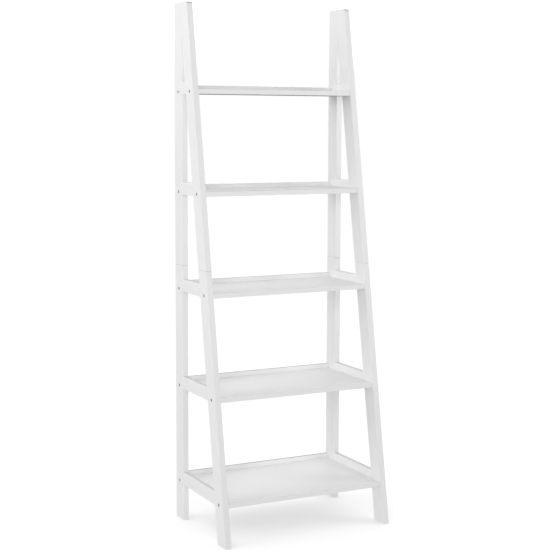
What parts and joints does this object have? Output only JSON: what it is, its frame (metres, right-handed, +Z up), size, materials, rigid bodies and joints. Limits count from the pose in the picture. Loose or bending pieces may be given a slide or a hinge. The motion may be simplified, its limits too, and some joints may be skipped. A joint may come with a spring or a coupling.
{
  "type": "ladder shelf",
  "caption": "White painted wooden ladder bookshelf with upright rear posts, slanted front legs and stepped tray shelves that grow deeper towards the floor.",
  "frame": {"origin": "on the floor, at the middle of the footprint's bounding box", "axes": "+Z up, front towards -Y, width along X"},
  "size_m": [0.64, 0.4257, 1.829],
  "materials": {
    "frame_paint": "white satin paint on planed wood, softened edges",
    "shelf_paint": "white satin paint on wood boards",
    "bolt_metal": "dark zinc-plated socket-head bolts",
    "dowel_wood": "bare beech dowel"
  },
  "bodies": {
    "root": {"left_rear_post_lower": "frame_paint", "left_rear_post_upper": "frame_paint", "left_front_leg_lower": "frame_paint", "left_front_leg_upper": "frame_paint", "left_side_rail_1": "frame_paint", "left_side_rail_2": "frame_paint", "left_side_rail_3": "frame_paint", "left_side_rail_4": "frame_paint", "left_side_rail_5": "frame_paint", "right_rear_post_lower": "frame_paint", "right_rear_post_upper": "frame_paint", "right_front_leg_lower": "frame_paint", "right_front_leg_upper": "frame_paint", "right_side_rail_1": "frame_paint", "right_side_rail_2": "frame_paint", "right_side_rail_3": "frame_paint", "right_side_rail_4": "frame_paint", "right_side_rail_5": "frame_paint", "shelf_panel_1": "shelf_paint", "shelf_panel_2": "shelf_paint", "shelf_panel_3": "shelf_paint", "shelf_panel_4": "shelf_paint", "shelf_panel_5": "shelf_paint", "back_rail_1": "shelf_paint", "back_rail_2": "shelf_paint", "back_rail_3": "shelf_paint", "back_rail_4": "shelf_paint", "back_rail_5": "shelf_paint", "bolt_left_rear_1": "bolt_metal", "bolt_left_rear_2": "bolt_metal", "bolt_left_rear_3": "bolt_metal", "bolt_left_rear_4": "bolt_metal", "bolt_left_rear_5": "bolt_metal", "bolt_left_front_1": "bolt_metal", "bolt_left_front_2": "bolt_metal", "bolt_left_front_3": "bolt_metal", "bolt_left_front_4": "bolt_metal", "bolt_left_front_5": "bolt_metal", "bolt_right_rear_1": "bolt_metal", "bolt_right_rear_2": "bolt_metal", "bolt_right_rear_3": "bolt_metal", "bolt_right_rear_4": "bolt_metal", "bolt_right_rear_5": "bolt_metal", "bolt_right_front_1": "bolt_metal", "bolt_right_front_2": "bolt_metal", "bolt_right_front_3": "bolt_metal", "bolt_right_front_4": "bolt_metal", "bolt_right_front_5": "bolt_metal", "dowel_left_rear": "dowel_wood", "dowel_left_front": "dowel_wood", "dowel_right_rear": "dowel_wood", "dowel_right_front": "dowel_wood"}
  },
  "joints": []
}
